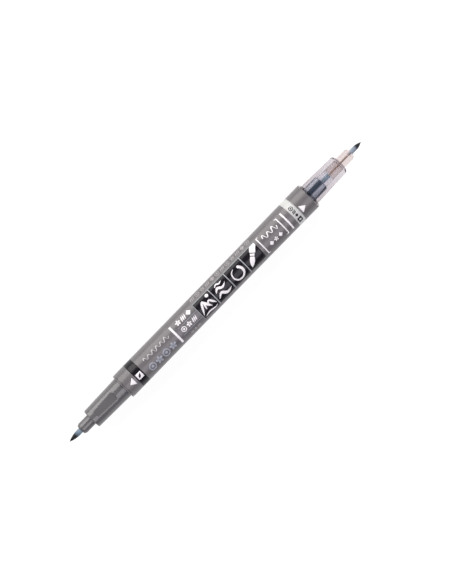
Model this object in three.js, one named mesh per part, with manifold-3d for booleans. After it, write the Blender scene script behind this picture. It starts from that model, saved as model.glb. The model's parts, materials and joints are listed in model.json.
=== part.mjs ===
// A double-ended calligraphy marker lying on its side with both caps off.
//
// Units are millimetres. The pen lies along X with its printed side up (+Z): the black-ink
// end points to -X and the grey-ink end to +X. The origin is under the middle of the pen,
// on the plane that the barrel rests on.
//
// Each end is built pointing to +X, from distances measured outwards from the pen's middle,
// and the black-ink end is then turned half a turn about Z.
import * as THREE from "three";
import { mergeVertices } from "three/addons/utils/BufferGeometryUtils.js";
import Module from "manifold-3d";

const wasm = await Module();
wasm.setup();

// ---- facets and clearances ----
const SIDES = 32; // round the barrel, rings, grips and holders
const SMALL_SIDES = 20; // round the nibs, cores and feeds
const GAP = 0.1; // between fixed pieces that meet

// ---- barrel ----
const BARREL_RADIUS = 5.57;
const FLARED_RADIUS = 5.78; // at the grey-ink end
const FLARE_START = 13.6; // X where the barrel starts to widen
const BARREL_BORE = 4.66;
const AXIS_HEIGHT = FLARED_RADIUS;

// ---- ribs inside the barrel ----
const RIBS = 4;
const RIB_START = 6;
const RIB_LENGTH = 34;
const RIB_THICKNESS = 0.8;
const RIB_INNER_RADIUS = 3.35;
const RIB_ROOT = 0.2; // how far a rib runs into the barrel's wall

// ---- ink system, the same at both ends ----
const DIVIDER_HALF_WIDTH = 1.5;
const REAR_STOP_WIDTH = 3;
const PLUG_RADIUS = 4.5; // divider and rear stops
const FILM_GAP = 0.1; // between a reservoir and its film
const FILM_THICKNESS = 0.12;
const FILM_SETBACK = 0.3; // the rod stands this far out of its film
const RESERVOIR_END = 58.3;
const RELAY_RADIUS = 0.96;
const RELAY_LENGTH = 3.8;
const SLEEVE_INNER_RADIUS = 1.08;
const SLEEVE_RADIUS = 2.6;
const SLEEVE_LENGTH = 4.2;
const FEED_RADIUS = 0.3;
const FEED_BORE = 0.5;

// ---- grips ----
const GRIP_PLUG_START = 43; // the plug reaches this far into the barrel
const CORNER_STEPS = 4;

// ---- nib holders and nibs ----
const HOLDER_CHAMFER = 0.95;
const MOUTH_DEPTH = 1.5;
const MOUTH_RADIUS = 0.85;
const NIB_TAIL_LENGTH = 1.2; // the slim part of a nib that sits in the holder's mouth
const NIB_TAIL_RADIUS = 0.42;
const NIB_STANDOFF = 0.28; // from the holder's face to the nib's root, so that the nib can bend
const NIB_TIP = 80.62;
const NIB_STRAIGHT_TAPER = 0.93; // radius at the end of a straight root, as a share of its start
const NIB_STEPS = 8;

const BLACK_END = {
  ink: "black",
  turn: Math.PI,
  barrelRadius: BARREL_RADIUS,
  ringStart: 50.87,
  ringEnd: 51.52,
  seatRadius: 5.02,
  gripRootRadius: 4.56,
  gripTipRadius: 4.15,
  gripEnd: 68.66,
  gripCorner: 0.6,
  gripBore: 3.1,
  gripEndWall: 1.2,
  reservoirRadius: 2.6,
  holderRadius: 2.39,
  holderEnd: 74.36,
  nibRadius: 1.125,
  nibStraight: 0, // length of the nib's root before it starts to taper to its point
  nibPower: 2.7, // above 1 the taper bulges
  ringPlastic: { color: 0x77747a },
  plastic: { color: 0x55555a, roughness: 0.35 },
  nibColor: 0x16181b,
};

const GREY_END = {
  ink: "grey",
  turn: 0,
  barrelRadius: FLARED_RADIUS,
  ringStart: 50.5,
  ringEnd: 51.67,
  seatRadius: 4.86,
  gripRootRadius: 4.57,
  gripTipRadius: 4.2,
  gripEnd: 68.87,
  gripCorner: 1.45,
  gripBore: 3.6,
  gripEndWall: 0.9,
  reservoirRadius: 2.95,
  holderRadius: 2.45,
  holderEnd: 74.55,
  nibRadius: 1.01,
  nibStraight: 2.85,
  nibPower: 1.55,
  ringPlastic: { color: 0xa5a1a5, roughness: 0.15, transparent: true, opacity: 0.6 },
  plastic: { color: 0xd2d0d2, roughness: 0.15, transparent: true, opacity: 0.4 },
  nibColor: 0x2c3136,
};

// ---- thumb flats on the black-ink grip, on its printed side and its back ----
const FLAT_DISTANCE = 3.98; // from the pen's axis
const FLAT_START = 55.9;
const FLAT_END = 66.6;
const FLAT_RUN_OUT = 0.6; // slope at the outer end
const FLAT_ROUND = 0.5; // radius at the inner end
const CUTTER_SIZE = 12;

// ---- materials ----

function plastic(color, options = {}) {
  return new THREE.MeshStandardMaterial({ color, roughness: 0.4, metalness: 0, ...options });
}

// ---- turned pieces ----

// A piece turned round the pen's axis. The outline lists [distance along the pen, radius],
// anticlockwise with the axis below; the radii are to the middles of the flat facets.
function turnedGeometry(outline, sides = SIDES) {
  const facetScale = 1 / Math.cos(Math.PI / sides);
  const points = outline.map(([along, radius]) => new THREE.Vector2(radius * facetScale, along));
  const geometry = new THREE.LatheGeometry(points, sides, Math.PI / sides);
  geometry.rotateZ(-Math.PI / 2);
  geometry.deleteAttribute("normal");
  geometry.deleteAttribute("uv");
  return mergeVertices(geometry, 1e-4);
}

// A ring of constant section: the outline closes on itself.
function ringOutline(start, end, inner, outer) {
  return [
    [start, inner],
    [start, outer],
    [end, outer],
    [end, inner],
    [start, inner],
  ];
}

function rodOutline(start, end, radius) {
  return [
    [start, 0],
    [start, radius],
    [end, radius],
    [end, 0],
  ];
}

// The points of a convex quarter round that ends on the face at `end`.
function roundedCorner(end, radius, corner) {
  const points = [];
  for (let step = 0; step <= CORNER_STEPS; step += 1) {
    const angle = (Math.PI / 2) * (step / CORNER_STEPS);
    points.push([
      end - corner + corner * Math.sin(angle),
      radius - corner + corner * Math.cos(angle),
    ]);
  }
  return points;
}

function named(name, geometry, material) {
  geometry.computeVertexNormals();
  const mesh = new THREE.Mesh(geometry, material);
  mesh.name = name;
  return mesh;
}

// ---- joining and cutting ----

function toSolid(geometry) {
  const bare = geometry.clone();
  bare.deleteAttribute("normal");
  bare.deleteAttribute("uv");
  const merged = mergeVertices(bare, 1e-4);
  return new wasm.Manifold(
    new wasm.Mesh({
      numProp: 3,
      vertProperties: new Float32Array(merged.attributes.position.array),
      triVerts: new Uint32Array(merged.index.array),
    }),
  );
}

function toGeometry(solid) {
  const mesh = solid.getMesh();
  const geometry = new THREE.BufferGeometry();
  geometry.setAttribute("position", new THREE.BufferAttribute(mesh.vertProperties, 3));
  geometry.setIndex(new THREE.BufferAttribute(mesh.triVerts, 1));
  return geometry;
}

// ---- barrel ----

function ribGeometry(side, index) {
  const outerRadius = BARREL_BORE + RIB_ROOT;
  const height = outerRadius - RIB_INNER_RADIUS;
  const rib = new THREE.BoxGeometry(RIB_LENGTH, RIB_THICKNESS, height);
  rib.translate(side * (RIB_START + RIB_LENGTH / 2), 0, RIB_INNER_RADIUS + height / 2);
  rib.rotateX(((index + 0.5) * 2 * Math.PI) / RIBS);
  return rib;
}

function barrel() {
  const start = -BLACK_END.ringStart + GAP / 2;
  const end = GREY_END.ringStart - GAP / 2;
  let solid = toSolid(
    turnedGeometry([
      [start, BARREL_BORE],
      [start, BARREL_RADIUS],
      [FLARE_START, BARREL_RADIUS],
      [end, FLARED_RADIUS],
      [end, BARREL_BORE],
      [start, BARREL_BORE],
    ]),
  );
  for (const side of [-1, 1]) {
    for (let index = 0; index < RIBS; index += 1) {
      solid = solid.add(toSolid(ribGeometry(side, index)));
    }
  }
  return named("barrel", toGeometry(solid), plastic(0x7f7c81));
}

function centreDivider() {
  const outline = rodOutline(-DIVIDER_HALF_WIDTH, DIVIDER_HALF_WIDTH, PLUG_RADIUS);
  return named("centre_divider", turnedGeometry(outline), plastic(0xe8e6e0));
}

// ---- one end: ring, grip, holder and nib ----

// The ring that closes the barrel. Its flat outer face is the seat of the cap's lip.
function endRing(end) {
  const corner = end.barrelRadius - end.seatRadius;
  const outline = [
    [end.ringStart + GAP / 2, BARREL_BORE],
    [end.ringStart + GAP / 2, end.barrelRadius],
    ...roundedCorner(end.ringEnd, end.barrelRadius, corner),
    [end.ringEnd, BARREL_BORE],
    [end.ringStart + GAP / 2, BARREL_BORE],
  ];
  const { color, ...look } = end.ringPlastic;
  return named(`${end.ink}_end_ring`, turnedGeometry(outline), plastic(color, look));
}

function gripGeometry(end) {
  return turnedGeometry([
    [GRIP_PLUG_START, end.gripBore],
    [GRIP_PLUG_START, end.gripRootRadius],
    [end.ringEnd, end.gripRootRadius],
    ...roundedCorner(end.gripEnd, end.gripTipRadius, end.gripCorner),
    [end.gripEnd, end.holderRadius + GAP],
    [end.gripEnd - end.gripEndWall, end.holderRadius + GAP],
    [end.gripEnd - end.gripEndWall, end.gripBore],
    [GRIP_PLUG_START, end.gripBore],
  ]);
}

// The cutter of a thumb flat: its side view, a flat with a round inner end and a sloping
// outer end, extruded across the grip.
function flatCutter() {
  const top = FLAT_DISTANCE + CUTTER_SIZE;
  const side = new THREE.Shape();
  side.moveTo(FLAT_START + FLAT_ROUND, FLAT_DISTANCE);
  side.lineTo(FLAT_END - FLAT_RUN_OUT, FLAT_DISTANCE);
  side.lineTo(FLAT_END, FLAT_DISTANCE + FLAT_RUN_OUT);
  side.lineTo(FLAT_END, top);
  side.lineTo(FLAT_START, top);
  side.lineTo(FLAT_START, FLAT_DISTANCE + FLAT_ROUND);
  side.quadraticCurveTo(FLAT_START, FLAT_DISTANCE, FLAT_START + FLAT_ROUND, FLAT_DISTANCE);
  const cutter = new THREE.ExtrudeGeometry(side, {
    depth: CUTTER_SIZE,
    bevelEnabled: false,
    curveSegments: CORNER_STEPS,
  });
  cutter.translate(0, 0, -CUTTER_SIZE / 2);
  cutter.rotateX(Math.PI / 2);
  return cutter;
}

function flattenedGripGeometry(end) {
  const front = flatCutter();
  const back = flatCutter().rotateX(Math.PI);
  const solid = toSolid(gripGeometry(end)).subtract(toSolid(front)).subtract(toSolid(back));
  return toGeometry(solid);
}

function grip(end) {
  const geometry = end === BLACK_END ? flattenedGripGeometry(end) : gripGeometry(end);
  return named(`${end.ink}_grip`, geometry, plastic(end.plastic.color, end.plastic));
}

function nibHolder(end) {
  const start = RESERVOIR_END + GAP + SLEEVE_LENGTH + GAP;
  const faceRadius = end.holderRadius - HOLDER_CHAMFER / 2;
  const outline = [
    [start, FEED_BORE],
    [start, end.holderRadius],
    [end.holderEnd - HOLDER_CHAMFER, end.holderRadius],
    [end.holderEnd, faceRadius],
    [end.holderEnd, MOUTH_RADIUS],
    [end.holderEnd - MOUTH_DEPTH, MOUTH_RADIUS],
    [end.holderEnd - MOUTH_DEPTH, FEED_BORE],
    [start, FEED_BORE],
  ];
  const material = plastic(end.plastic.color, end.plastic);
  return named(`${end.ink}_nib_holder`, turnedGeometry(outline), material);
}

// The nib pivots at the holder's face: its tail has room to swing inside the mouth, and its
// root stands off the face.
function nib(end) {
  const root = end.holderEnd + NIB_STANDOFF;
  const taperStart = root + end.nibStraight;
  const taperRadius = end.nibStraight > 0 ? end.nibRadius * NIB_STRAIGHT_TAPER : end.nibRadius;
  const outline = [
    [end.holderEnd - NIB_TAIL_LENGTH, 0],
    [end.holderEnd - NIB_TAIL_LENGTH, NIB_TAIL_RADIUS],
    [root, NIB_TAIL_RADIUS],
    [root, end.nibRadius],
  ];
  for (let step = end.nibStraight > 0 ? 0 : 1; step < NIB_STEPS; step += 1) {
    const share = step / NIB_STEPS;
    const radius = taperRadius * (1 - share ** end.nibPower);
    outline.push([taperStart + share * (NIB_TIP - taperStart), radius]);
  }
  outline.push([NIB_TIP, 0]);
  return named(
    `${end.ink}_nib`,
    turnedGeometry(outline, SMALL_SIDES),
    plastic(end.nibColor, { roughness: 0.6 }),
  );
}

// ---- one end: ink system ----

function rearStop(end) {
  const start = DIVIDER_HALF_WIDTH + GAP;
  const outline = rodOutline(start, start + REAR_STOP_WIDTH, PLUG_RADIUS);
  return named(`${end.ink}_rear_stop`, turnedGeometry(outline), plastic(0xe8e6e0));
}

function reservoir(end) {
  const start = DIVIDER_HALF_WIDTH + REAR_STOP_WIDTH + 2 * GAP;
  const rod = rodOutline(start, RESERVOIR_END, end.reservoirRadius);
  const filmInner = end.reservoirRadius + FILM_GAP;
  const film = ringOutline(
    start + FILM_SETBACK,
    RESERVOIR_END - FILM_SETBACK,
    filmInner,
    filmInner + FILM_THICKNESS,
  );
  const filmLook = { roughness: 0.15, transparent: true, opacity: 0.5 };
  return [
    named(`${end.ink}_reservoir`, turnedGeometry(rod), plastic(0x37414d, { roughness: 0.8 })),
    named(`${end.ink}_reservoir_film`, turnedGeometry(film), plastic(0xa5acb9, filmLook)),
  ];
}

function relay(end) {
  const start = RESERVOIR_END + GAP;
  const core = rodOutline(start, start + RELAY_LENGTH, RELAY_RADIUS);
  const sleeve = ringOutline(start, start + SLEEVE_LENGTH, SLEEVE_INNER_RADIUS, SLEEVE_RADIUS);
  const sleeveLook = { roughness: 0.3, transparent: true, opacity: 0.7 };
  return [
    named(`${end.ink}_relay`, turnedGeometry(core, SMALL_SIDES), plastic(0x697682)),
    named(
      `${end.ink}_relay_sleeve`,
      turnedGeometry(sleeve),
      plastic(0xe3e2e0, sleeveLook),
    ),
  ];
}

function feed(end) {
  const start = RESERVOIR_END + RELAY_LENGTH + 2 * GAP;
  const outline = rodOutline(start, end.holderEnd - MOUTH_DEPTH - GAP, FEED_RADIUS);
  return named(
    `${end.ink}_feed`,
    turnedGeometry(outline, SMALL_SIDES),
    plastic(0x5a4f48, { roughness: 0.8 }),
  );
}

function penEnd(end) {
  const group = new THREE.Group();
  group.add(endRing(end), grip(end), nibHolder(end), nib(end));
  group.add(rearStop(end), ...reservoir(end), ...relay(end), feed(end));
  group.rotation.z = end.turn;
  return group;
}

// ---- the pen ----

const pen = new THREE.Group();
pen.position.z = AXIS_HEIGHT;
pen.add(barrel(), centreDivider(), penEnd(BLACK_END), penEnd(GREY_END));

export default pen;
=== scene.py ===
"""The looks of a double-ended calligraphy marker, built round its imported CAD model.

The pen lies along X on a pale floor: the black-ink end points to -X, the clear grey-ink end
to +X, and the printed side faces up (+Z). Outlines are in millimetres, as (x, radius) points
turned round the pen's axis, and meshes are made in metres.
"""
import json
import math
import random

import bmesh
import bpy
from mathutils import Matrix, Vector


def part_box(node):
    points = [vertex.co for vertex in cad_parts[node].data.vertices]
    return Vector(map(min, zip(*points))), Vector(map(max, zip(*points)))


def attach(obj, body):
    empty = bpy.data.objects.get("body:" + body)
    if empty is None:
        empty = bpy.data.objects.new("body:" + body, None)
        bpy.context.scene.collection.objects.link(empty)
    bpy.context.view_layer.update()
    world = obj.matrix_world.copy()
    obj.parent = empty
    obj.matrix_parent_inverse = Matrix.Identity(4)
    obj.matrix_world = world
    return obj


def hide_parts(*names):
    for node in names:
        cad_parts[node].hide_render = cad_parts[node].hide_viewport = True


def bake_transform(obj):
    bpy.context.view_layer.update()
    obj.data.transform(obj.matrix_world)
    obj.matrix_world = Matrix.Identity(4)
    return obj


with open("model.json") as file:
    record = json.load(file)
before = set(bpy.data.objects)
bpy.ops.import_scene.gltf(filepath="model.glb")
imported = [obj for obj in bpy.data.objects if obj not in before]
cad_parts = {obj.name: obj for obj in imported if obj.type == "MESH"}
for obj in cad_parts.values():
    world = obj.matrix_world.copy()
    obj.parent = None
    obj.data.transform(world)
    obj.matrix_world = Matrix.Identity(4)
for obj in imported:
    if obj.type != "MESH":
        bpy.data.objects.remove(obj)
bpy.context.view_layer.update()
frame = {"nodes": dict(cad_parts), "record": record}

MM = 0.001
SIDES = 128  # round a turned piece
HOLDER_SIDES = 96
NIB_SIDES = 64
FEED_SIDES = 32
FILLET_STEPS = 5
SHARP_ANGLE = math.radians(35)
ON_AXIS = 1e-6  # a ring with a smaller radius is one point on the pen's axis

PEN = "pen"  # the body that everything except the nibs rides on


# ---- places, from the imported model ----


def span(node):
    """A node's lowest and highest x, and its radius, in millimetres."""
    low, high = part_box(node)
    return low[0] / MM, high[0] / MM, (high[1] - low[1]) / 2 / MM


AXIS_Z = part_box("grey_end_ring")[1][2] / 2 / MM
BARREL_START, BARREL_END, FLARED_RADIUS = span("barrel")
BLACK_RING_END, BLACK_RING_START, BARREL_RADIUS = span("black_end_ring")
GREY_RING_START, GREY_RING_END, _ = span("grey_end_ring")
BLACK_GRIP_END, BLACK_PLUG_START, BLACK_GRIP_RADIUS = span("black_grip")
GREY_PLUG_START, GREY_GRIP_END, GREY_GRIP_RADIUS = span("grey_grip")
BLACK_HOLDER_END, BLACK_HOLDER_START, BLACK_HOLDER_RADIUS = span("black_nib_holder")
GREY_HOLDER_START, GREY_HOLDER_END, GREY_HOLDER_RADIUS = span("grey_nib_holder")
BLACK_TIP, _, BLACK_NIB_RADIUS = span("black_nib")
_, GREY_TIP, GREY_NIB_RADIUS = span("grey_nib")
RESERVOIR_START, RESERVOIR_END, RESERVOIR_RADIUS = span("grey_reservoir")
FILM_START, FILM_END, FILM_RADIUS = span("grey_reservoir_film")
RELAY_START, RELAY_END, RELAY_RADIUS = span("grey_relay")
SLEEVE_START, SLEEVE_END, SLEEVE_RADIUS = span("grey_relay_sleeve")
FEED_START, FEED_END, FEED_RADIUS = span("grey_feed")

BORE = 4.66  # of the barrel and its end rings
FLARE_START = 13.6  # x where the barrel starts to widen
FLARE_FILLET = 40.0  # radius of the bend there
EDGE_FILLET = 0.12  # of the outer edges of barrel, rings and noses
FINE_FILLET = 0.1  # of the edges round holes and of hidden ends
RING_BORE_FILLET = 0.04
BLACK_RING_CORNER = 0.4
GREY_RING_CORNER = 0.9
GREY_GRIP_BORE = 3.6
GREY_GRIP_TIP_RADIUS = 4.2
GREY_GRIP_WALL = 0.9  # thickness of the wall at the grip's outer end
GREY_GRIP_CORNER = 1.4
GREY_GRIP_INNER_CORNER = 0.6
BLACK_GRIP_BORE = 3.1
BLACK_GRIP_TIP_RADIUS = 4.15
BLACK_GRIP_WALL = 1.2
BLACK_GRIP_CORNER = 0.55
FEED_BORE = 0.5
MOUTH_RADIUS = 0.85
MOUTH_DEPTH = 1.5
NIB_TAIL_RADIUS = 0.42
NIB_STANDOFF = 0.06  # from the holder's face to the nib's root


# ---- mesh helpers ----


def rounded(corners, closed=False):
    """Corner points (x, radius) or (x, radius, fillet) as an outline with arcs for fillets."""
    outline = []
    last = len(corners) - 1
    for index, (x, radius, *fillet) in enumerate(corners):
        corner = Vector((x, radius))
        if not fillet or (not closed and index in (0, last)):
            outline.append(corner)
            continue
        before = (Vector(corners[index - 1][:2]) - corner).normalized()
        after = (Vector(corners[(index + 1) % len(corners)][:2]) - corner).normalized()
        half_angle = before.angle(after) / 2
        centre = corner + (before + after).normalized() * fillet[0] / math.sin(half_angle)
        reach = fillet[0] / math.tan(half_angle)
        start = (corner + before * reach - centre).normalized()
        end = (corner + after * reach - centre).normalized()
        for step in range(FILLET_STEPS + 1):
            outline.append(centre + start.slerp(end, step / FILLET_STEPS) * fillet[0])
    return outline


def subdivided(outline, longest):
    """The outline with points added so that no stretch is longer than this."""
    points = [outline[0]]
    for start, end in zip(outline, outline[1:]):
        parts = max(1, math.ceil((end - start).length / longest))
        points += [start.lerp(end, part / parts) for part in range(1, parts + 1)]
    return points


def finished_object(name, mesh_source, material):
    """An object from a bmesh, with outward normals and smooth shading broken at sharp edges."""
    bmesh.ops.recalc_face_normals(mesh_source, faces=mesh_source.faces)
    mesh = bpy.data.meshes.new(name)
    mesh_source.to_mesh(mesh)
    mesh_source.free()
    mesh.shade_smooth()
    mesh.set_sharp_from_angle(angle=SHARP_ANGLE)
    mesh.materials.append(material)
    piece = bpy.data.objects.new(name, mesh)
    bpy.context.collection.objects.link(piece)
    return piece


def turned(name, outline, material, closed=False, sides=SIDES, shape=None):
    """A surface of revolution about the pen's axis. shape(x, angle, radius) may alter the radius."""
    source = bmesh.new()
    rings = []
    for x, radius in outline:
        if radius < ON_AXIS:
            rings.append([source.verts.new((x * MM, 0, AXIS_Z * MM))])
            continue
        ring = []
        for side in range(sides):
            angle = 2 * math.pi * side / sides
            local = shape(x, angle, radius) if shape else radius
            y = local * math.sin(angle)
            z = AXIS_Z + local * math.cos(angle)
            ring.append(source.verts.new((x * MM, y * MM, z * MM)))
        rings.append(ring)
    pairs = list(zip(rings, rings[1:]))
    if closed:
        pairs.append((rings[-1], rings[0]))
    for first, second in pairs:
        for side in range(sides):
            following = (side + 1) % sides
            corners = [first[side % len(first)], first[following % len(first)]]
            corners += [second[following % len(second)], second[side % len(second)]]
            unique = list(dict.fromkeys(corners))
            if len(unique) > 2:
                source.faces.new(unique)
    return finished_object(name, source, material)


# ---- material helpers ----

NOISE_LOW, NOISE_HIGH = 0.3, 0.7  # most of a noise lies between these


class Look:
    """A Principled material whose detail comes from noise in the piece's own coordinates."""

    def __init__(self, name, color, roughness, **sockets):
        self.material = bpy.data.materials.new(name)
        self.material.use_nodes = True
        self.tree = self.material.node_tree
        self.shader = self.tree.nodes["Principled BSDF"]
        self.shader.inputs["Base Color"].default_value = (*color, 1)
        self.shader.inputs["Roughness"].default_value = roughness
        for socket, value in sockets.items():
            self.shader.inputs[socket.replace("_", " ")].default_value = value
        self.place = self.node("ShaderNodeTexCoord").outputs["Object"]

    def node(self, kind, **settings):
        made = self.tree.nodes.new(kind)
        for setting, value in settings.items():
            setattr(made, setting, value)
        return made

    def link(self, source, target):
        self.tree.links.new(source, target)

    def drive(self, socket, source):
        """The source feeds this socket of the shader."""
        self.link(source, self.shader.inputs[socket])

    def calculate(self, operation, *values):
        """A Math node's result; each value is a number or another node's output."""
        made = self.node("ShaderNodeMath", operation=operation)
        for socket, value in zip(made.inputs, values):
            if isinstance(value, float):
                socket.default_value = value
            else:
                self.link(value, socket)
        return made.outputs["Value"]

    def noise(self, scale, stretch=(1, 1, 1), detail=3.0):
        """Noise with features of about 1/scale mm, drawn out along an axis whose stretch is low."""
        mapping = self.node("ShaderNodeMapping")
        mapping.inputs["Scale"].default_value = [part * scale / MM for part in stretch]
        self.link(self.place, mapping.inputs["Vector"])
        texture = self.node("ShaderNodeTexNoise")
        texture.inputs["Scale"].default_value = 1.0
        texture.inputs["Detail"].default_value = detail
        self.link(mapping.outputs["Vector"], texture.inputs["Vector"])
        return texture.outputs["Fac"]

    def ramp(self, factor, *stops):
        """A colour ramp through (position, colour) stops."""
        ramp = self.node("ShaderNodeValToRGB")
        elements = ramp.color_ramp.elements
        while len(elements) < len(stops):
            elements.new(1.0)
        for element, (position, color) in zip(elements, stops):
            element.position = position
            element.color = (*color, 1)
        self.link(factor, ramp.inputs["Fac"])
        return ramp.outputs["Color"]

    def ranged(self, factor, low, high):
        """A noise, stretched from the range that most of it is in to low..high."""
        remap = self.node("ShaderNodeMapRange")
        remap.inputs["From Min"].default_value = NOISE_LOW
        remap.inputs["From Max"].default_value = NOISE_HIGH
        remap.inputs["To Min"].default_value = low
        remap.inputs["To Max"].default_value = high
        self.link(factor, remap.inputs["Value"])
        return remap.outputs["Result"]

    def bump(self, height, distance):
        """A bump of this many millimetres, added over any earlier one."""
        bump = self.node("ShaderNodeBump")
        bump.inputs["Distance"].default_value = distance * MM
        self.link(height, bump.inputs["Height"])
        normal = self.shader.inputs["Normal"]
        if normal.is_linked:
            self.link(normal.links[0].from_socket, bump.inputs["Normal"])
        self.link(bump.outputs["Normal"], normal)


def shade(color, amount):
    """The colour made lighter or darker by a factor."""
    return tuple(part * amount for part in color)


def moulded_plastic(name, color, roughness, mottle=0.06, **sockets):
    """Injection-moulded plastic: faint mottling, drag lines along the pen and a fine grain."""
    look = Look(name, color, roughness, **sockets)
    cloud = look.noise(0.12, detail=4)
    stops = ((NOISE_LOW, shade(color, 1 - mottle)), (NOISE_HIGH, shade(color, 1 + mottle)))
    look.drive("Base Color", look.ramp(cloud, *stops))
    drag = look.noise(3.0, stretch=(0.03, 1, 1), detail=2)
    look.drive("Roughness", look.ranged(drag, roughness * 0.85, roughness * 1.2))
    look.bump(drag, 0.006)
    look.bump(look.noise(9.0, detail=2), 0.004)
    return look.material


def printed_ink(name, color, roughness, wear=0.12, **sockets):
    """Screen-printed ink: slightly uneven cover with tiny thin spots."""
    look = Look(name, color, roughness, **sockets)
    cover = look.noise(2.2, detail=6)
    stops = ((0.28, shade(color, 1 - wear)), (0.5, color))
    look.drive("Base Color", look.ramp(cover, *stops))
    look.drive("Roughness", look.ranged(cover, roughness * 1.3, roughness))
    look.bump(look.noise(6.0, detail=3), 0.004)
    return look.material


CLEAR_IOR = 1.3  # lower than real plastic, so that little glare hides the ink system
CLEAR_GLARE = 0.15  # share of the straight-on reflection that is kept
SMOKE = (0.3, 0.2, 0.26)  # a thick stretch of smoky plastic tends to this
FLOW_SHADE = 0.93  # brightness of its darker flow lines


def clear_plastic(name, tint, smoke_density):
    """Polished clear plastic, smokier where it is thicker, with faint flow lines along the pen."""
    look = Look(name, tint, 0.0, Transmission_Weight=1.0, IOR=CLEAR_IOR)
    look.shader.inputs["Specular Tint"].default_value = (CLEAR_GLARE, CLEAR_GLARE, CLEAR_GLARE, 1)
    flow = look.noise(0.5, stretch=(0.08, 1, 1), detail=1)
    stops = ((NOISE_LOW, shade(tint, FLOW_SHADE)), (NOISE_HIGH, tint))
    look.drive("Base Color", look.ramp(flow, *stops))
    smoke = look.node("ShaderNodeVolumeAbsorption")
    smoke.inputs["Color"].default_value = (*SMOKE, 1)
    smoke.inputs["Density"].default_value = smoke_density
    look.link(smoke.outputs["Volume"], look.tree.nodes["Material Output"].inputs["Volume"])
    return look.material


# The film's pale bands are painted lamp reflections, this many round the pen.
FILM_REFLECTION_BANDS = 5
FILM_PAINTED_REFLECTION_PEAK = math.radians(-29)  # middle of a pale band, a painted lamp reflection, from straight up towards +Y
FILM_PAINTED_REFLECTION_CONTRAST = 0.3


def film_with_painted_reflections(name, dark, middle, pale, roughness):
    """Glossy film over soaked fibre, with dark and pale bands along the pen: the pale bands are
    painted lamp reflections, set by the angle round the axis, mixed with the fibre's own streaks.
    """
    look = Look(name, dark, roughness)
    apart = look.node("ShaderNodeSeparateXYZ")
    look.link(look.place, apart.inputs["Vector"])
    across = look.node("ShaderNodeCombineXYZ")
    look.link(look.calculate("SUBTRACT", apart.outputs["Z"], AXIS_Z * MM), across.inputs["X"])
    look.link(apart.outputs["Y"], across.inputs["Y"])
    around = look.node("ShaderNodeTexGradient", gradient_type="RADIAL")
    look.link(across.outputs["Vector"], around.inputs["Vector"])
    # painted reflection: a wave round the axis, its pale crests where lamp reflections fall, mixed
    # with noise strands
    start = -(math.pi + FILM_PAINTED_REFLECTION_PEAK) * FILM_REFLECTION_BANDS
    turn = look.calculate("MULTIPLY_ADD", around.outputs["Fac"], math.tau * FILM_REFLECTION_BANDS, start)
    wave = look.calculate("COSINE", turn)
    strands = look.noise(1.6, stretch=(0.04, 1, 1), detail=3)
    mixed = look.calculate("MULTIPLY_ADD", wave, FILM_PAINTED_REFLECTION_CONTRAST, strands)
    look.drive("Base Color", look.ramp(mixed, (0.38, dark), (0.55, middle), (0.72, pale)))
    look.drive("Roughness", look.ranged(strands, roughness * 0.8, roughness * 1.3))
    look.bump(look.noise(1.0, stretch=(0.2, 1, 1), detail=1), 0.006)
    return look.material


def ink_fibre(name, dark, light):
    """Ink-soaked fibres running along the pen."""
    look = Look(name, dark, 0.55, Sheen_Weight=0.2)
    strands = look.noise(6.0, stretch=(0.03, 1, 1), detail=5)
    look.drive("Base Color", look.ramp(strands, (0.35, dark), (0.68, light)))
    look.bump(strands, 0.03)
    return look.material


NIB_RAGGEDNESS = 0.12  # how far single strands carry the ink towards the root


def brush_nib_look(name, root, middle, tip, dark_from):
    """Flexible nib: pale at the root, soaked with ink towards the tip.

    It darkens about dark_from, a share of the way from the holder's face to the tip.
    """
    look = Look(name, tip, 0.5, Specular_IOR_Level=0.2)
    along = look.node("ShaderNodeAttribute", attribute_name="along").outputs["Fac"]
    strands = look.noise(7.0, stretch=(0.05, 1, 1), detail=4)
    ragged = look.calculate("MULTIPLY_ADD", strands, NIB_RAGGEDNESS, along)
    stops = (
        (0.06, root),
        (dark_from - 0.06, middle),
        (dark_from + 0.08, tip),
        (1.0, shade(tip, 0.6)),
    )
    look.drive("Base Color", look.ramp(ragged, *stops))
    look.bump(strands, 0.02)
    return look.material


WHITE = (1.0, 1.0, 1.0)
FLOOR_GREY = 0.25
FLOOR_MOTTLE = 0.01
FLOOR_GLOW = 0.78


def floor_look():
    """A white sweep lit mostly from below, so that it stays white and shadows on it stay faint."""
    look = Look("floor_paper", shade(WHITE, FLOOR_GREY), 0.9, Specular_IOR_Level=0.1)
    fine = look.noise(0.02, detail=5)
    dark, light = shade(WHITE, FLOOR_GREY - FLOOR_MOTTLE), shade(WHITE, FLOOR_GREY + FLOOR_MOTTLE)
    look.drive("Base Color", look.ramp(fine, (NOISE_LOW, dark), (NOISE_HIGH, light)))
    look.shader.inputs["Emission Color"].default_value = (*WHITE, 1)
    look.shader.inputs["Emission Strength"].default_value = FLOOR_GLOW
    return look.material


BARREL_GREY = (0.108, 0.102, 0.107)
DARK_GREY = (0.088, 0.086, 0.09)

barrel_plastic = moulded_plastic("barrel_plastic", BARREL_GREY, 0.27, Specular_IOR_Level=0.45)
ring_plastic = moulded_plastic("ring_plastic", shade(BARREL_GREY, 0.97), 0.26)
clear_ring_plastic = clear_plastic("clear_ring_plastic", (0.62, 0.605, 0.61), 90)
dark_plastic = moulded_plastic("dark_plastic", DARK_GREY, 0.17, Specular_IOR_Level=0.62)
plug_plastic = moulded_plastic("plug_plastic", (0.72, 0.7, 0.66), 0.45)
clear_grip_plastic = clear_plastic("clear_grip_plastic", (0.97, 0.965, 0.975), 300)
clear_nose_plastic = clear_plastic("clear_nose_plastic", (0.84, 0.77, 0.745), 65)
sleeve_plastic = clear_plastic("sleeve_plastic", (0.92, 0.94, 0.98), 40)
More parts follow.
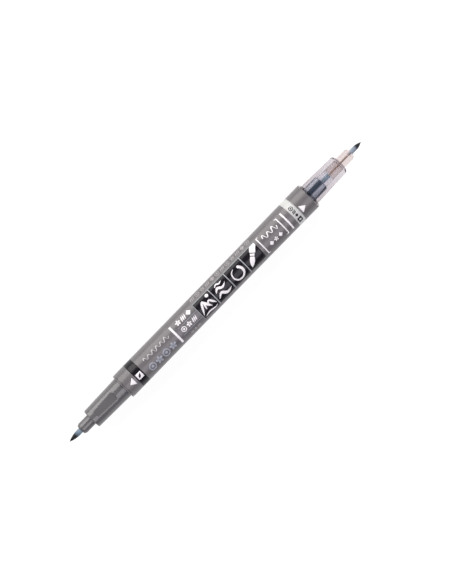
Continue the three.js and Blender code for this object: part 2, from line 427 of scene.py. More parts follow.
# film colours: dark, middle and pale, the pale one a painted lamp reflection
film_plastic = film_with_painted_reflections(
    "film_plastic", (0.021, 0.033, 0.052), (0.13, 0.145, 0.18), (0.29, 0.312, 0.365), 0.3
)
reservoir_fibre = ink_fibre("reservoir_fibre", (0.02, 0.028, 0.045), (0.06, 0.075, 0.1))
relay_fibre = ink_fibre("relay_fibre", (0.11, 0.145, 0.175), (0.2, 0.245, 0.28))
feed_fibre = ink_fibre("feed_fibre", (0.15, 0.115, 0.095), (0.28, 0.23, 0.195))
black_nib_look = brush_nib_look(
    "black_nib_look", (0.19, 0.25, 0.31), (0.075, 0.105, 0.14), (0.004, 0.004, 0.005), 0.46
)
grey_nib_look = brush_nib_look(
    "grey_nib_look", (0.22, 0.25, 0.3), (0.17, 0.2, 0.25), (0.01, 0.012, 0.016), 0.52
)
white_ink = printed_ink("white_ink", (0.72, 0.7, 0.72), 0.4)
soft_white_ink = printed_ink("soft_white_ink", (0.42, 0.41, 0.42), 0.4)
pale_ink = printed_ink("pale_ink", (0.27, 0.285, 0.34), 0.4)
black_ink = printed_ink("black_ink", (0.006, 0.005, 0.008), 0.2, wear=0.0, Specular_IOR_Level=0.26)
frame_ink = printed_ink("frame_ink", (0.24, 0.25, 0.27), 0.35)
band_ink = printed_ink("band_ink", (0.43, 0.435, 0.43), 0.35, wear=0.05)
faint_ink = printed_ink("faint_ink", (0.26, 0.245, 0.25), 0.4)


# ---- the turned pieces ----


def place(piece, *nodes, slot, body=PEN):
    """The piece rides on its body and stands for any CAD nodes named, which it hides; slot is not
    used.
    """
    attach(piece, body)
    if nodes:
        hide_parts(*nodes)
    return piece


def see_through(piece):
    """Clear plastic doesn't keep the lamps off what is inside it."""
    piece.visible_shadow = False


def barrel_radius(x):
    """The barrel's radius at x: constant, then widening evenly to the grey-ink end."""
    share = max(0.0, (x - FLARE_START) / (BARREL_END - FLARE_START))
    return BARREL_RADIUS + (FLARED_RADIUS - BARREL_RADIUS) * share


def build_barrel():
    outline = rounded(
        [
            (BARREL_START, BORE),
            (BARREL_START, BARREL_RADIUS, EDGE_FILLET),
            (FLARE_START, BARREL_RADIUS, FLARE_FILLET),
            (BARREL_END, FLARED_RADIUS, EDGE_FILLET),
            (BARREL_END, BORE),
        ],
        closed=True,
    )
    place(turned("barrel_shell", outline, barrel_plastic, closed=True), "barrel", slot="barrel")


def build_ring(name, node, inner_x, outer_x, radius, corner, material, slot):
    """A rounded ring that closes the barrel; its face at outer_x is where a cap comes to rest."""
    outline = rounded(
        [
            (inner_x, BORE),
            (inner_x, radius, EDGE_FILLET),
            (outer_x, radius, corner),
            (outer_x, BORE, RING_BORE_FILLET),
        ],
        closed=True,
    )
    return place(turned(name, outline, material, closed=True), node, slot=slot)


HOLDER_FIT = 0.06  # gap round a nib holder in the end of its grip
FLAT_ROW = 0.15  # longest facet along the black grip, so that its flats have clean edges


def build_grips():
    """Tapered sleeves with a hole for the nib holder; the black one has thumb flats."""
    black = rounded(
        [
            (BLACK_PLUG_START, BLACK_GRIP_BORE),
            (BLACK_PLUG_START, BLACK_GRIP_RADIUS),
            (BLACK_RING_END, BLACK_GRIP_RADIUS),
            (BLACK_GRIP_END, BLACK_GRIP_TIP_RADIUS, BLACK_GRIP_CORNER),
            (BLACK_GRIP_END, BLACK_HOLDER_RADIUS + HOLDER_FIT, FINE_FILLET),
            (BLACK_GRIP_END + BLACK_GRIP_WALL, BLACK_HOLDER_RADIUS + HOLDER_FIT),
            (BLACK_GRIP_END + BLACK_GRIP_WALL, BLACK_GRIP_BORE),
        ],
        closed=True,
    )
    black = subdivided(black, FLAT_ROW)
    grip = turned("black_grip_shell", black, dark_plastic, closed=True, shape=flattened)
    place(grip, "black_grip", slot="dark_grip")

    grey = rounded(
        [
            (GREY_PLUG_START, GREY_GRIP_BORE),
            (GREY_PLUG_START, GREY_GRIP_RADIUS),
            (GREY_RING_END, GREY_GRIP_RADIUS),
            (GREY_GRIP_END, GREY_GRIP_TIP_RADIUS, GREY_GRIP_CORNER),
            (GREY_GRIP_END, GREY_HOLDER_RADIUS + HOLDER_FIT, FINE_FILLET),
            (GREY_GRIP_END - GREY_GRIP_WALL, GREY_HOLDER_RADIUS + HOLDER_FIT),
            (GREY_GRIP_END - GREY_GRIP_WALL, GREY_GRIP_BORE, GREY_GRIP_INNER_CORNER),
        ],
        closed=True,
    )
    grip = turned("grey_grip_shell", grey, clear_grip_plastic, closed=True)
    see_through(place(grip, "grey_grip", slot="clear_grip"))


FLAT_DISTANCE = 3.98  # of the thumb flats from the pen's axis
FLAT_INNER_X = -55.9
FLAT_OUTER_X = -66.6
FLAT_RUN_OUT = 0.6  # length of the slope at a flat's outer end
FLAT_ROUND = 0.5  # radius of the step at its inner end
FLAT_BLEND = 0.1  # softness of a flat's edges
NO_FLAT = 9.0  # a distance that cuts nothing
LEAST_FACING = 0.2  # cosine that keeps the flats' distance finite towards the sides


def flat_distance(x):
    """How far the thumb flat's surface lies from the axis at x."""
    if not FLAT_OUTER_X < x < FLAT_INNER_X:
        return NO_FLAT
    from_inner = FLAT_INNER_X - x
    if from_inner < FLAT_ROUND:
        lift = FLAT_ROUND - math.sqrt(FLAT_ROUND**2 - (FLAT_ROUND - from_inner) ** 2)
        return FLAT_DISTANCE + lift
    return FLAT_DISTANCE + max(0.0, FLAT_RUN_OUT - (x - FLAT_OUTER_X))


def flattened(x, angle, radius):
    """The radius cut down, with a soft edge, by the flats on the printed side and the back."""
    flat = flat_distance(x) / max(abs(math.cos(angle)), LEAST_FACING)
    share = min(1.0, max(0.0, 0.5 + 0.5 * (flat - radius) / FLAT_BLEND))
    return flat + (radius - flat) * share - FLAT_BLEND * share * (1 - share)


HOLDER_CHAMFER = 0.95
HOLDER_BEND = 0.5  # fillet where the chamfer starts


def build_holder(name, node, start, end, radius, material, slot):
    """A nib holder: a bevelled nose with a mouth for the nib and a fine bore for its feed."""
    outwards = 1 if end > start else -1
    mouth_floor = end - outwards * MOUTH_DEPTH
    outline = rounded(
        [
            (start, FEED_BORE),
            (start, radius, FINE_FILLET),
            (end - outwards * HOLDER_CHAMFER, radius, HOLDER_BEND),
            (end, radius - HOLDER_CHAMFER / 2, EDGE_FILLET),
            (end, MOUTH_RADIUS, FINE_FILLET),
            (mouth_floor, MOUTH_RADIUS),
            (mouth_floor, FEED_BORE),
        ],
        closed=True,
    )
    nose = turned(name, outline, material, closed=True, sides=HOLDER_SIDES)
    return place(nose, node, slot=slot)


FILM_GAP = 0.06  # between the ink rod and its film
SLEEVE_GAP = 0.1  # between the relay and its sleeve
INK_PART_FILLET = 0.15  # of the ink rod's near end and the sleeve's two ends
RELAY_FILLET = 0.2


def build_ink_system():
    """What shows through the clear grip: ink rod in its film, relay, its sleeve and the feed."""
    rod = rounded(
        [
            (RESERVOIR_START, 0),
            (RESERVOIR_START, RESERVOIR_RADIUS, FINE_FILLET),
            (RESERVOIR_END, RESERVOIR_RADIUS, INK_PART_FILLET),
            (RESERVOIR_END, 0),
        ]
    )
    place(turned("grey_ink_rod", rod, reservoir_fibre), "grey_reservoir", slot="ink_fibre")
    film = rounded(
        [
            (FILM_START, RESERVOIR_RADIUS + FILM_GAP),
            (FILM_START, FILM_RADIUS),
            (FILM_END, FILM_RADIUS),
            (FILM_END, RESERVOIR_RADIUS + FILM_GAP),
        ]
    )
    wrap = turned("grey_ink_film", film, film_plastic, closed=True)
    place(wrap, "grey_reservoir_film", slot="film")
    core = rounded(
        [
            (RELAY_START, 0),
            (RELAY_START, RELAY_RADIUS),
            (RELAY_END, RELAY_RADIUS, RELAY_FILLET),
            (RELAY_END, 0),
        ]
    )
    place(turned("grey_relay_core", core, relay_fibre), "grey_relay", slot="ink_fibre")
    sleeve = rounded(
        [
            (SLEEVE_START, RELAY_RADIUS + SLEEVE_GAP),
            (SLEEVE_START, SLEEVE_RADIUS, INK_PART_FILLET),
            (SLEEVE_END, SLEEVE_RADIUS, INK_PART_FILLET),
            (SLEEVE_END, RELAY_RADIUS + SLEEVE_GAP),
        ],
        closed=True,
    )
    collar = turned("grey_relay_collar", sleeve, sleeve_plastic, closed=True)
    see_through(place(collar, "grey_relay_sleeve", slot="film"))
    thread = rounded(
        [(FEED_START, 0), (FEED_START, FEED_RADIUS), (FEED_END, FEED_RADIUS), (FEED_END, 0)]
    )
    feed = turned("grey_feed_rod", thread, feed_fibre, sides=FEED_SIDES)
    place(feed, "grey_feed", slot="ink_fibre")


NIB_STEPS = 28  # along a nib's taper
NIB_ROW = 0.4  # longest facet along the nib
NIB_ROUND = 0.12  # fillet round its root
NIB_STRAIGHT_TAPER = 0.93  # radius at the end of a straight root, as a share of its start


def build_nib(name, node, face_x, tip_x, radius, material, straight, power):
    """A pointed nib: a slim tail in the holder's mouth, a straight root, and a taper.

    The higher the power, the fuller the taper stays towards its tip.
    """
    outwards = 1 if tip_x > face_x else -1
    low, high, _ = span(node)
    tail = low if outwards > 0 else high
    root = face_x + outwards * NIB_STANDOFF
    taper_start = root + outwards * straight
    taper_radius = radius * (NIB_STRAIGHT_TAPER if straight else 1)
    outline = rounded(
        [
            (tail, 0),
            (tail, NIB_TAIL_RADIUS),
            (root, NIB_TAIL_RADIUS),
            (root, radius, NIB_ROUND),
            (root + outwards * NIB_ROUND * 2, radius),
        ]
    )
    first = 0 if straight else 2  # the rounded root takes the place of a taper's first steps
    for step in range(first, NIB_STEPS):
        share = step / NIB_STEPS
        x = taper_start + (tip_x - taper_start) * share
        outline.append(Vector((x, taper_radius * (1 - share**power))))
    outline.append(Vector((tip_x, 0)))
    piece = turned(name, subdivided(outline, NIB_ROW), material, sides=NIB_SIDES)
    along = piece.data.attributes.new("along", "FLOAT", "POINT")
    for vertex, value in zip(piece.data.vertices, along.data):
        value.value = max(0.0, (vertex.co.x / MM - face_x) / (tip_x - face_x))
    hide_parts(node)
    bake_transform(piece)


def finish_hidden_nodes():
    """Materials for the CAD pieces that stay as they are, sealed inside the pen."""
    looks = {
        "plug_plastic": plug_plastic,
        "ink_fibre": reservoir_fibre,
        # the film look carries painted lamp reflections
        "film": film_plastic,
    }
    slots = {part["node"]: part["material_slot"] for part in frame["record"]["subparts"]}
    for name, node in frame["nodes"].items():
        look = looks.get(slots[name])
        if look and not node.hide_render:
            node.data.materials.clear()
            node.data.materials.append(look)


# ---- the print, laid out flat and wrapped on to the barrel ----

PRINT_ANGLE = math.radians(-12)  # the print's centre line, turned from straight up towards -Y
PANEL_FRAME_LIFT = 0.004  # how far each layer of ink stands off the barrel
PRINT_LIFT = 0.012
OVERPRINT_LIFT = 0.024
TOP_LIFT = 0.034
INK_THICKNESS = 0.02
PRINT_ROW = 0.8  # longest facet of the print along the pen
FACETS_ACROSS = 2 / PRINT_ROW  # to each millimetre across the pen


def patch(x0, x1, s0, s1):
    """A rectangle as two edge rows; x runs along the pen and s across the print."""
    return [((x0, s0), (x0, s1)), ((x1, s0), (x1, s1))]


def wrapped(x, s, lift):
    """A point of the flat print on the barrel, in metres."""
    radius = barrel_radius(x) + lift
    angle = PRINT_ANGLE + s / BARREL_RADIUS
    y = radius * math.sin(angle)
    z = AXIS_Z + radius * math.cos(angle)
    return (x * MM, y * MM, z * MM)


def print_piece(name, strips, material, lift=PRINT_LIFT):
    """Strips of (left, right) point rows as one thin skin of ink on the barrel."""
    source = bmesh.new()
    for strip in strips:
        longest = max(math.dist(left, right) for left, right in strip)
        across = max(1, math.ceil(longest * FACETS_ACROSS))
        previous = None
        for left, right in refined(strip):
            row = []
            for part in range(across + 1):
                share = part / across
                x = left[0] + (right[0] - left[0]) * share
                s = left[1] + (right[1] - left[1]) * share
                row.append(source.verts.new(wrapped(x, s, lift)))
            if previous:
                for part in range(across):
                    source.faces.new((previous[part], previous[part + 1], row[part + 1], row[part]))
            previous = row
    for face in source.faces:
        face.normal_update()
        middle = face.calc_center_median()
        if face.normal.dot(middle - Vector((middle.x, 0, AXIS_Z * MM))) < 0:
            face.normal_flip()
    mesh = bpy.data.meshes.new(name)
    source.to_mesh(mesh)
    source.free()
    mesh.shade_smooth()
    mesh.materials.append(material)
    piece = bpy.data.objects.new(name, mesh)
    bpy.context.collection.objects.link(piece)
    skin = piece.modifiers.new("ink_thickness", "SOLIDIFY")
    skin.thickness = INK_THICKNESS * MM
    skin.offset = -1
    return place(piece, slot="barrel")


def refined(strip):
    """The strip's rows with more put between them where they are far apart."""
    rows = [strip[0]]
    for (left0, right0), (left1, right1) in zip(strip, strip[1:]):
        gap = max(math.dist(left0, left1), math.dist(right0, right1))
        parts = max(1, math.ceil(gap / PRINT_ROW))
        for part in range(1, parts + 1):
            share = part / parts
            left = tuple(a + (b - a) * share for a, b in zip(left0, left1))
            right = tuple(a + (b - a) * share for a, b in zip(right0, right1))
            rows.append((left, right))
    return rows


def curve_point(points, share):
    """The point at a share of a Catmull-Rom curve through points of any dimension."""
    position = share * (len(points) - 1)
    index = min(int(position), len(points) - 2)
    local = position - index
    before = points[max(index - 1, 0)]
    start = points[index]
    end = points[index + 1]
    after = points[min(index + 2, len(points) - 1)]
    result = []
    for p0, p1, p2, p3 in zip(before, start, end, after):
        bend = (p2 - p0) * local
        bend += (2 * p0 - 5 * p1 + 4 * p2 - p3) * local**2
        bend += (3 * p1 - p0 - 3 * p2 + p3) * local**3
        result.append(p1 + bend / 2)
    return tuple(result)


NEARBY = 0.01  # share of a curve over which its direction is taken
THINNEST = 0.01  # least half width of a ribbon


def ribbon(points, start=0.0, end=1.0, side=0.0, fill=1.0, steps=14):
    """A strip along a curve of (x, s, half width) points, or one bristle's share of its width."""
    strip = []
    for step in range(steps + 1):
        share = start + (end - start) * step / steps
        x, s, half = curve_point(points, share)
        ahead = curve_point(points, min(1.0, share + NEARBY))
        behind = curve_point(points, max(0.0, share - NEARBY))
        along = Vector((ahead[0] - behind[0], ahead[1] - behind[1])).normalized()
        across = Vector((-along.y, along.x)) * max(half, THINNEST)
        middle = Vector((x, s)) + across * side
        strip.append((tuple(middle - across * fill), tuple(middle + across * fill)))
    return strip


BRISTLES = 7
BRISTLE_FILL = 1.12 / BRISTLES  # of the stroke's width, so that neighbours overlap
LATE_START = 0.03  # shares of a stroke's length
EARLY_END = 0.16


def brush_stroke(points, dice):
    """A stroke laid down by bristles that start and run dry at slightly different places."""
    strips = []
    for bristle in range(BRISTLES):
        side = (2 * bristle + 1) / BRISTLES - 1
        start = dice.uniform(0.0, LATE_START) + LATE_START * side * side
        end = 1.0 - dice.uniform(0.0, EARLY_END) * (0.4 + side * side)
        strips.append(ribbon(points, start, end, side, BRISTLE_FILL))
    return strips


def shifted(points, x, s, scale=1.0):
    """Points (x, s, half width), scaled and moved to a new middle."""
    return [(x + scale * px, s + scale * ps, scale * half) for px, ps, half in points]


# ---- small print marks, each about a middle point (x, s) ----

DISC_STEPS = 10
DISC_END = 0.05  # half width at a disc's two ends, as a share of its radius
RING_STEPS = 24
DIAMOND_END = 0.02  # half width at a diamond's two ends
PETALS = 5
PETAL = ((0.12, 0.06), (0.62, 0.3), (1.0, 0.1))  # share of the size outwards, and half width
DAB = ((-0.3, -0.9, 0.1), (0.0, 0.0, 0.24), (0.3, 0.95, 0.05))  # x, s and half width
DAB_PLACES = (-0.66, 0.0, 0.66)
TARGET_RING, TARGET_LINE, TARGET_DOT = 0.84, 0.15, 0.36  # shares of a target's size


def disc(x, s, radius):
    """A round dot, as a strip whose width follows a circle."""
    strip = []
    for step in range(DISC_STEPS + 1):
        turn = math.pi * step / DISC_STEPS
        half = radius * max(math.sin(turn), DISC_END)
        along = x - radius * math.cos(turn)
        strip.append(((along, s - half), (along, s + half)))
    return strip


def ring(x, s, radius, half):
    """A circle drawn with a line of this half width."""
    strip = []
    for step in range(RING_STEPS + 1):
        turn = math.tau * step / RING_STEPS
        way = Vector((math.cos(turn), math.sin(turn)))
        inner = Vector((x, s)) + way * (radius - half)
        outer = Vector((x, s)) + way * (radius + half)
        strip.append((tuple(inner), tuple(outer)))
    return strip


def target(x, s, size):
    """A ring round a dot."""
    return [ring(x, s, TARGET_RING * size, TARGET_LINE * size), disc(x, s, TARGET_DOT * size)]


def diamond(x, s, size):
    """A square on its corner."""
    halves = ((-size, DIAMOND_END), (0, size), (size, DIAMOND_END))
    return [[((x + along, s - half), (x + along, s + half)) for along, half in halves]]


def bloom(x, s, size):
    """A blossom: petals round a point."""
    strips = []
    for petal in range(PETALS):
        turn = math.tau * petal / PETALS + math.pi / 2
        way = (math.cos(turn) * size, math.sin(turn) * size)
        points = [(x + share * way[0], s + share * way[1], half * size) for share, half in PETAL]
        strips.append(ribbon(points, steps=6))
    return strips


def dabs(x, s, size):
    """Three slanted touches of a brush."""
    strips = []
    for offset in DAB_PLACES:
        touch = [(px + offset, ps, half) for px, ps, half in DAB]
        strips.append(ribbon(shifted(touch, x, s, size), steps=8))
    return strips


def row_of(marks, x0, x1, s, size):
    """Marks spaced evenly from x0 to x1."""
    pitch = (x1 - x0) / len(marks)
    strips = []
    for index, mark in enumerate(marks):
        strips += mark(x0 + pitch * (index + 0.5), s, size)
    return strips


WAVE_STEPS = 12  # curve points to each turn of a flourish


def flourish(x0, x1, s, height, turns, thick):
    """A waving pen line, thick on the way up and thin on the way down."""
    count = WAVE_STEPS * turns
    points = []
    for step in range(count + 1):
        turn = math.tau * turns * step / count
        swell = 0.55 + 0.45 * math.sin(turn + math.pi / 3)
        swing = height / 2 * math.sin(turn) * (0.8 + 0.2 * math.cos(turn * 0.37))
        points.append((x0 + (x1 - x0) * step / count, s + swing, thick * (0.35 + 0.65 * swell)))
    return ribbon(points, steps=count * 2)


# ---- the fields of the print, in millimetres: x along the pen, s up the print ----

DARK_BAND = (-45.75, -42.03)  # x limits
LIGHT_BAND = (40.41, 43.88)
FIRST_BAR = (-23.6, -22.7)
LAST_BAR = (37.4, 38.12)
LEFT_BRACKET = 24.0  # x of its outer edge
RIGHT_BRACKET = 35.43
BRACKET_BAR = 0.5
BRACKET_SERIF = 1.15
SERIF_THICKNESS = 0.3
BAR_HEIGHT = (-4.25, 4.45)  # s limits of the bars
BRACKET_HEIGHT = (-4.0, 4.3)
HAIRLINE = 0.16
HAIRLINES_FROM, HAIRLINES_TO = -21.28, -11.37
HAIRLINE_PLACES = (1.28, -2.14)
POINTER_BASE = (-2.1, 1.2)  # s limits
POINTER_TIP = (-0.5, -0.42)
BLACK_POINTER = (-49.0, -46.73)  # x of its tip and its base
GREY_POINTER = (47.01, 44.58)
SEAL_HALF = 1.3  # half its width, in the middle of the dark band
SEAL_HEIGHT = (-1.8, 0.83)
SEAL_DROP = [(-0.75, -1.25, 0.05), (-0.15, -0.55, 0.5), (0.8, 0.4, 0.04)]
BLOCK = (41.02, 42.96)  # the black block in the light band, with the band's marks in line above
BLOCK_HEIGHT = (-4.3, -1.95)


def pointer(tip_x, base_x):
    """A triangle that points along the pen."""
    ends = ((tip_x, POINTER_TIP), (base_x, POINTER_BASE))
    return sorted(((x, low), (x, high)) for x, (low, high) in ends)


def build_bands():
    """The ink-colour bands near each end, their marks, and the pointers to each nib."""
    around = math.pi * BARREL_RADIUS
    print_piece("print_black_band", [patch(*DARK_BAND, -around, around)], black_ink)
    print_piece("print_grey_band", [patch(*LIGHT_BAND, -around, around)], band_ink)
    seal_middle = sum(DARK_BAND) / 2
    white = [patch(seal_middle - SEAL_HALF, seal_middle + SEAL_HALF, *SEAL_HEIGHT)]
    white += [pointer(*BLACK_POINTER), pointer(*GREY_POINTER)]
    print_piece("print_white_marks", white, white_ink, OVERPRINT_LIFT)
    drop = ribbon(shifted(SEAL_DROP, seal_middle, 0.0), steps=8)
    print_piece("print_seal_drop", [drop], black_ink, TOP_LIFT)
    middle = sum(BLOCK) / 2
    marks = target(middle, s=2.6, size=0.9)
    marks += dabs(middle, s=0.85, size=0.8)
    marks += diamond(middle, s=-0.7, size=0.75)
    marks.append(patch(*BLOCK, *BLOCK_HEIGHT))
    print_piece("print_band_marks", marks, black_ink, OVERPRINT_LIFT)
    notch = diamond(middle, s=-3.1, size=0.62)
    print_piece("print_band_notch", notch, band_ink, TOP_LIFT)


def build_rules():
    """White bars and brackets that frame the fields of the print."""
    rules = [patch(*FIRST_BAR, *BAR_HEIGHT), patch(*LAST_BAR, *BAR_HEIGHT)]
    low, high = BRACKET_HEIGHT
    for x, inwards in ((LEFT_BRACKET, 1), (RIGHT_BRACKET, -1)):
        rules.append(patch(*sorted((x, x + BRACKET_BAR * inwards)), low, high))
        for s in (low, high - SERIF_THICKNESS):
            serif = sorted((x, x + BRACKET_SERIF * inwards))
            rules.append(patch(*serif, s, s + SERIF_THICKNESS))
    print_piece("print_rules", rules, white_ink)
    lines = [patch(HAIRLINES_FROM, HAIRLINES_TO, s, s + HAIRLINE) for s in HAIRLINE_PLACES]
    print_piece("print_hairlines", lines, pale_ink)


# x limits of the rows of ornaments, in their order along the pen
LARGE_ROW = (-39.7, -25.0)
LARGE_ROW_WAVE = (-38.9, -25.6)
BRIGHT_ROWS = (-20.9, -12.5)
LOW_ROW = (-18.8, -13.2)
TOP_ROW = (-10.6, 22.4)
BRACKETED_ROW = (26.4, 33.6)
BRACKETED_WAVE = (26.2, 33.6)


def build_rows():
    """Plain ornaments where a maker would put words."""
    bright = row_of((bloom, dabs, diamond), *BRIGHT_ROWS, s=3.17, size=1.18)
    bright += row_of((target, bloom, dabs), *BRIGHT_ROWS, s=-0.3, size=1.14)
    print_piece("print_bright_rows", bright, white_ink)
    wave = flourish(*LARGE_ROW_WAVE, s=2.35, height=1.7, turns=6, thick=0.2)
    print_piece("print_flourish", [wave], soft_white_ink)
    large = row_of((target, bloom) * 2, *LARGE_ROW, s=-1.8, size=1.66)
    print_piece("print_outlined_marks", large, pale_ink)
    low = row_of((dabs, diamond, dabs), *LOW_ROW, s=-3.9, size=0.7)
    top_marks = (dabs, target, bloom, dabs, diamond, target) * 2
    top = row_of(top_marks, *TOP_ROW, s=6.25, size=1.15)
    print_piece("print_faint_rows", low + top, faint_ink)
    bracketed = [flourish(*BRACKETED_WAVE, s=2.2, height=2.4, turns=3, thick=0.24)]
    bracketed += row_of((diamond, bloom, diamond), *BRACKETED_ROW, s=-1.5, size=0.95)
    print_piece("print_scribble", bracketed, white_ink)


PANEL_SIZE = 8.05
PANEL_PITCH = 8.48
PANEL_COUNT = 4
PANELS_START = -10.85
PANEL_MIDDLE_S = -0.19
PANEL_BORDER = 0.3
PANEL_LOW_BORDER = 0.15
RING_DRAWN = [math.radians(30 + 46 * step) for step in range(8)]  # angles along the open ring

# Brush art for the first three panels, about each panel's middle: (x, s, half width).
PEAKS = [
    [(-3.5, -2.3, 0.12), (-2.1, 0.4, 0.42), (-0.85, 2.5, 0.3)],
    [(-0.85, 2.5, 0.3), (0.1, 0.5, 0.56), (1.5, -1.7, 0.1)],
    [(0.55, -0.1, 0.1), (1.1, 0.6, 0.3), (1.75, 1.1, 0.26)],
    [(1.75, 1.1, 0.26), (2.5, -0.2, 0.42), (3.6, -2.0, 0.08)],
    [(-1.0, 1.3, 0.05), (-0.85, 0.1, 0.3), (-1.2, -1.3, 0.05)],
    [(-3.4, -3.2, 0.08), (-0.8, -2.7, 0.36), (1.8, -3.2, 0.26), (3.5, -2.9, 0.05)],
]
SUN = (2.4, 2.8, 0.72)  # x, s and radius, beside the peaks
SWELL = [
    [(-1.9, 2.5, 0.1), (-0.7, 3.2, 0.3), (0.6, 2.6, 0.28), (2.0, 3.1, 0.05)],
    [(-2.9, 0.5, 0.12), (-1.4, 1.7, 0.48), (0.6, 0.7, 0.42), (2.7, 1.6, 0.06)],
    [(-3.3, -2.1, 0.16), (-1.3, -0.6, 0.5), (0.8, -2.3, 0.56), (3.4, -1.7, 0.07)],
]
OPEN_RING = [
    [
        (2.55 * math.sin(turn), 2.65 * math.cos(turn), 0.55 - 0.055 * index)
        for index, turn in enumerate(RING_DRAWN)
    ]
]

# The fourth panel shows a brush: bristles, a ferrule and a handle that runs off the corner.
BRUSH_BRISTLES = [(-2.75, -2.7, 0.05), (-2.1, -1.8, 0.72), (-1.1, -0.6, 1.02), (-0.05, 0.55, 0.86)]
BRUSH_FERRULE = [(0.14, 0.76, 0.87), (0.72, 1.4, 0.93)]
BRUSH_HANDLE = [(0.94, 1.62, 1.15), (2.5, 3.2, 1.25), (4.1, 4.8, 1.25), (4.7, 5.4, 1.25)]


def clipped(strip, x_end, s_end):
    """The strip with what lies past a panel's far corner pulled back to its edges."""
    return [tuple((min(x, x_end), min(s, s_end)) for x, s in row) for row in strip]


def panel_art(index, x, half, dice):
    """White brush art about the middle of a panel."""
    strips = []
    if index < PANEL_COUNT - 1:
        for line in (PEAKS, SWELL, OPEN_RING)[index]:
            strips += brush_stroke(shifted(line, x, PANEL_MIDDLE_S), dice)
        if index == 0:
            strips.append(disc(x + SUN[0], PANEL_MIDDLE_S + SUN[1], SUN[2]))
    else:
        for part in (BRUSH_BRISTLES, BRUSH_FERRULE, BRUSH_HANDLE):
            strip = ribbon(shifted(part, x, PANEL_MIDDLE_S))
            strips.append(clipped(strip, x + half, PANEL_MIDDLE_S + half))
    return strips


def build_panels(dice):
    """Four black squares with white brush marks, on a pale frame."""
    half = PANEL_SIZE / 2
    low, high = PANEL_MIDDLE_S - half, PANEL_MIDDLE_S + half
    start = PANELS_START - PANEL_BORDER
    end = PANELS_START + PANEL_PITCH * (PANEL_COUNT - 1) + PANEL_SIZE
    backing = patch(start, end, low - PANEL_LOW_BORDER, high + PANEL_BORDER)
    print_piece("print_panel_frame", [backing], frame_ink, PANEL_FRAME_LIFT)
    for index in range(PANEL_COUNT):
        x = PANELS_START + PANEL_PITCH * index
        print_piece(f"print_panel_{index + 1}", [patch(x, x + PANEL_SIZE, low, high)], black_ink)
        strips = panel_art(index, x + half, half, dice)
        print_piece(f"print_brush_mark_{index + 1}", strips, white_ink, OVERPRINT_LIFT)


# ---- stage, lights and camera, in metres ----

FLOOR_REACH = 3.0  # from the pen to the floor's edges


def build_floor():
    source = bmesh.new()
    bmesh.ops.create_grid(source, x_segments=1, y_segments=1, size=FLOOR_REACH)
    floor = finished_object("floor", source, floor_look())


STRIP_LENGTH = 1.9
WORLD_STRENGTH = 0.18


def strip_light(name, angle, distance, width, radiance, color):
    """A strip light parallel to the pen, turned by angle from overhead towards +Y."""
    light = bpy.data.lights.new(name, "AREA")
    light.shape = "RECTANGLE"
    light.size = STRIP_LENGTH
    light.size_y = width
    light.energy = radiance * math.pi * STRIP_LENGTH * width
    light.color = color
    lamp = bpy.data.objects.new(name, light)
    bpy.context.collection.objects.link(lamp)
    lamp.rotation_euler = (-angle, 0, 0)
    lamp.location = (0, distance * math.sin(angle), distance * math.cos(angle))
    lamp.visible_camera = False
    lamp.visible_transmission = False


def build_lights():
    strip_light(
        "key_strip", math.radians(56), distance=0.8, width=0.71,
        radiance=3.9, color=(1.0, 0.975, 0.94),
    )
    strip_light(
        "fill_strip", math.radians(-30), distance=0.85, width=0.62,
        radiance=2.7, color=(0.98, 0.94, 1.0),
    )
    world = bpy.data.worlds.new("studio")
    world.use_nodes = True
    background = world.node_tree.nodes["Background"]
    background.inputs["Color"].default_value = (0.95, 0.96, 1.0, 1)
    background.inputs["Strength"].default_value = WORLD_STRENGTH
    bpy.context.scene.world = world


CAMERA_DISTANCE = 0.654  # from the pen's axis
CAMERA_FOOT_X = -0.04419  # x of the point straight below the camera
VIEW_CENTRE = (0.00216, -0.0030)  # x and y of the point in the middle of the picture
PEN_SLANT = math.radians(45.77)  # how steeply the pen rises in the picture
LENS = 105  # millimetres, as is the sensor's width
SENSOR = 36


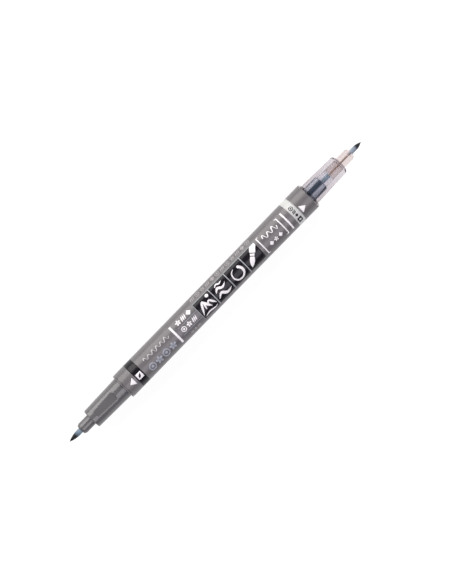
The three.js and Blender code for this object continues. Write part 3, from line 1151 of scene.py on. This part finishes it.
def build_camera():
    camera = bpy.data.cameras.new("camera")
    camera.lens = LENS
    camera.sensor_width = SENSOR
    eye = Vector((CAMERA_FOOT_X, VIEW_CENTRE[1], AXIS_Z * MM + CAMERA_DISTANCE))
    middle = Vector((*VIEW_CENTRE, AXIS_Z * MM))
    back = (eye - middle).normalized()
    right = Vector((math.cos(PEN_SLANT), -math.sin(PEN_SLANT), 0))
    right = (right - back * right.dot(back)).normalized()
    up = back.cross(right)
    stand = bpy.data.objects.new("camera", camera)
    stand.matrix_world = Matrix.Translation(eye) @ Matrix((right, up, back)).transposed().to_4x4()
    bpy.context.collection.objects.link(stand)
    bpy.context.scene.camera = stand
    bpy.context.scene.view_settings.view_transform = "Standard"


# ---- everything ----


def build_pen():
    """Every piece but the print; all but the nibs ride on the pen."""
    build_barrel()
    build_ring(
        "black_closing_ring", "black_end_ring", BLACK_RING_START, BLACK_RING_END,
        BARREL_RADIUS, BLACK_RING_CORNER, ring_plastic, "barrel",
    )
    shoulder = build_ring(
        "grey_closing_ring", "grey_end_ring", GREY_RING_START, GREY_RING_END,
        FLARED_RADIUS, GREY_RING_CORNER, clear_ring_plastic, "clear_grip",
    )
    see_through(shoulder)
    build_grips()
    build_holder(
        "black_nose", "black_nib_holder", BLACK_HOLDER_START, BLACK_HOLDER_END,
        BLACK_HOLDER_RADIUS, dark_plastic, "dark_grip",
    )
    nose = build_holder(
        "grey_nose", "grey_nib_holder", GREY_HOLDER_START, GREY_HOLDER_END,
        GREY_HOLDER_RADIUS, clear_nose_plastic, "clear_grip",
    )
    see_through(nose)
    build_ink_system()
    build_nib(
        "black_brush_nib", "black_nib", BLACK_HOLDER_END, BLACK_TIP, BLACK_NIB_RADIUS,
        black_nib_look, straight=0, power=2.7,
    )
    build_nib(
        "grey_brush_nib", "grey_nib", GREY_HOLDER_END, GREY_TIP, GREY_NIB_RADIUS,
        grey_nib_look, straight=3.07, power=1.55,
    )
    finish_hidden_nodes()


def build_print():
    """All the ink on the barrel, the same each time."""
    dice = random.Random(7)
    build_bands()
    build_rules()
    build_rows()
    build_panels(dice)


build_pen()
build_print()
build_floor()
build_lights()
build_camera()
